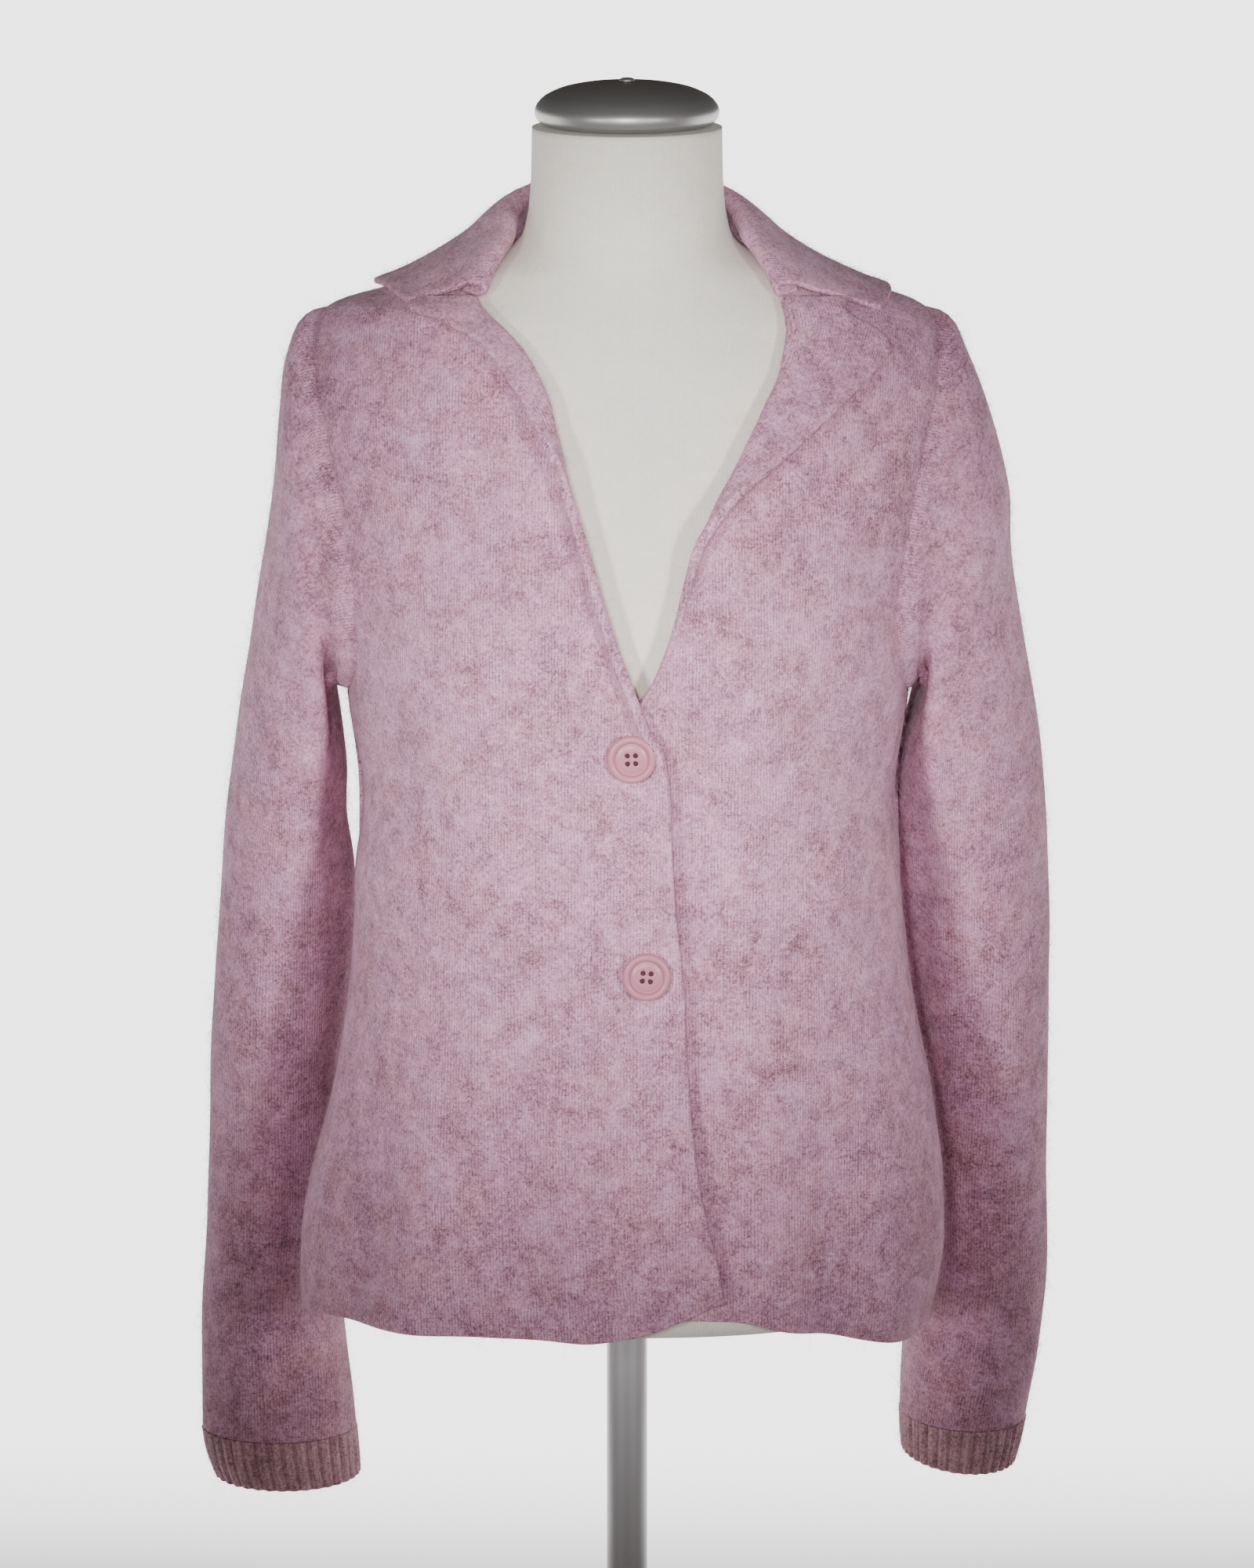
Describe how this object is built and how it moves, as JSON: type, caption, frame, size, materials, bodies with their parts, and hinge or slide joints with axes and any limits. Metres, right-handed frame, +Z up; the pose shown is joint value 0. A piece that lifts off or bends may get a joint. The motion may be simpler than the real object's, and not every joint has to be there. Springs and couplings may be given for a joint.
{
  "type": "cardigan on a dress form",
  "caption": "Soft knitted cardigan with a notched collar, turned-back lapels and ribbed cuffs, buttoned on a limbless dress form that stands on a round foot.",
  "frame": {"origin": "centre of the round foot's underside, on the floor", "axes": "+Z up along the stand's pole; the cardigan's front faces -Y; the wearer's left side is +X"},
  "size_m": [0.4695, 0.2683, 0.8688],
  "materials": {
    "mauve_knit": "brushed angora and lambswool knit",
    "cream_jersey": "fine ribbed jersey cover",
    "grey_metal": "satin grey",
    "pink_plastic": "satin dusty pink",
    "steel": "satin"
  },
  "bodies": {
    "root": {"front_right": "mauve_knit", "front_left": "mauve_knit", "back": "mauve_knit", "sleeve_right": "mauve_knit", "sleeve_left": "mauve_knit", "cuff_right": "mauve_knit", "cuff_left": "mauve_knit", "collar": "mauve_knit", "button_upper": "pink_plastic", "button_lower": "pink_plastic", "dress_form": "cream_jersey", "neck_cap": "grey_metal", "cap_screw": "grey_metal", "stand_pole": "steel", "stand_base": "steel"}
  },
  "joints": []
}
